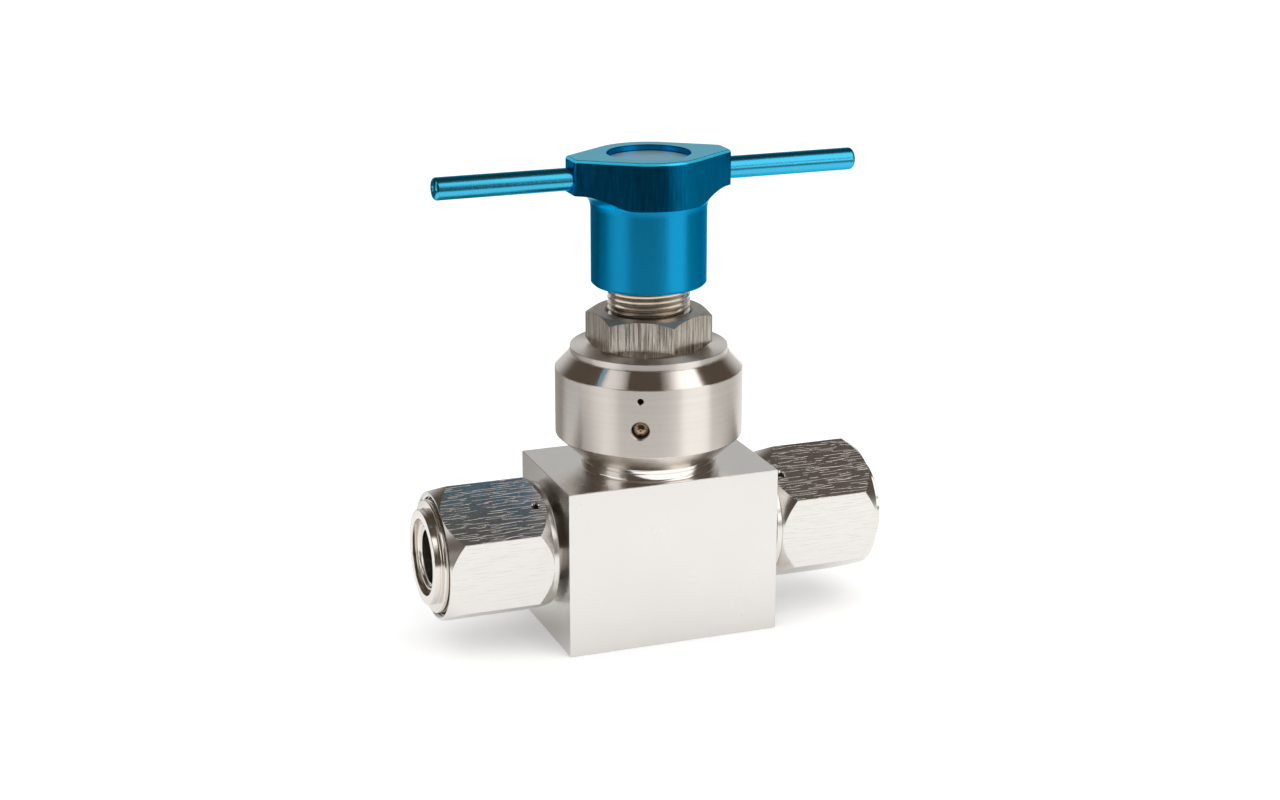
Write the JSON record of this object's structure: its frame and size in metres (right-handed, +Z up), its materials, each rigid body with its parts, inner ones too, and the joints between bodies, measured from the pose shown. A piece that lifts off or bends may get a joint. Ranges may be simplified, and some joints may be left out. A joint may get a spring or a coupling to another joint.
{
  "type": "bellows valve",
  "caption": "Bellows-sealed shut-off valve with a square steel body block, face-seal union ports, a round bonnet nut and a blue T-bar handle.",
  "frame": {"origin": "middle of the underside of the body block", "axes": "+X along the ports to the right, +Z up the stem, +Y to the back"},
  "size_m": [0.173, 0.068, 0.1757],
  "materials": {
    "satin_steel": "fine satin, machined faces",
    "turned_steel": "turned and lightly polished",
    "milled_steel": "milled flats with coarse tool marks",
    "blue_anodised": "blue anodised, satin",
    "bronze": "machined bronze",
    "bellows_steel": "thin formed sheet, bright",
    "hard_steel": "ground and hardened",
    "screw_steel": "dark socket screw",
    "seat_polymer": "white fluoropolymer",
    "seal_rubber": "black elastomer",
    "gasket_nickel": "soft nickel"
  },
  "bodies": {
    "valve": {"valve_body": "satin_steel", "left_gland": "turned_steel", "right_gland": "turned_steel", "union_nut": "turned_steel", "lock_screw": "bronze", "bonnet": "turned_steel", "bonnet_gasket": "gasket_nickel", "bellows_ring": "turned_steel", "guide_bushing": "bronze", "stem_nut": "bronze", "stem_o_ring": "seal_rubber", "panel_nut": "milled_steel", "bellows": "bellows_steel"},
    "stem": {"lower_stem": "turned_steel", "valve_disc": "turned_steel", "seat_insert": "seat_polymer", "stem_coupling": "turned_steel", "coupling_cap": "turned_steel", "anti_rotation_pin": "hard_steel", "lower_race": "hard_steel", "thrust_balls": "hard_steel"},
    "handle": {"spindle": "turned_steel", "upper_race": "hard_steel", "handle_hub": "blue_anodised", "handle_bar": "blue_anodised", "hub_set_screw": "screw_steel", "bar_set_screw": "screw_steel"},
    "left_ring": {"left_thrust_ring": "turned_steel"},
    "left_nut": {"left_port_nut": "milled_steel"},
    "right_ring": {"right_thrust_ring": "turned_steel"},
    "right_nut": {"right_port_nut": "milled_steel"}
  },
  "joints": [
    {"name": "stem_lift", "type": "slide", "parent": "valve", "child": "stem", "axis": [0, 0, 1], "range_m": [0, 0.006], "deforming": ["bellows"]},
    {"name": "handle_turn", "type": "hinge", "parent": "stem", "child": "handle", "pos_m": [0, 0, 0.15], "axis": [0, 0, 1], "range_deg": [0, 1080]},
    {"name": "left_nut_slide", "type": "slide", "parent": "valve", "child": "left_ring", "axis": [-1, 0, 0], "range_m": [0, 0.017]},
    {"name": "left_nut_turn", "type": "hinge", "parent": "left_ring", "child": "left_nut", "pos_m": [-0.06, 0, 0.035], "axis": [-1, 0, 0], "continuous": true},
    {"name": "right_nut_slide", "type": "slide", "parent": "valve", "child": "right_ring", "axis": [1, 0, 0], "range_m": [0, 0.017]},
    {"name": "right_nut_turn", "type": "hinge", "parent": "right_ring", "child": "right_nut", "pos_m": [0.06, 0, 0.035], "axis": [1, 0, 0], "continuous": true}
  ],
  "couplings": [
    {"joint": "stem_lift", "follows": "handle_turn", "m_per_rad": 0.0003183}
  ]
}
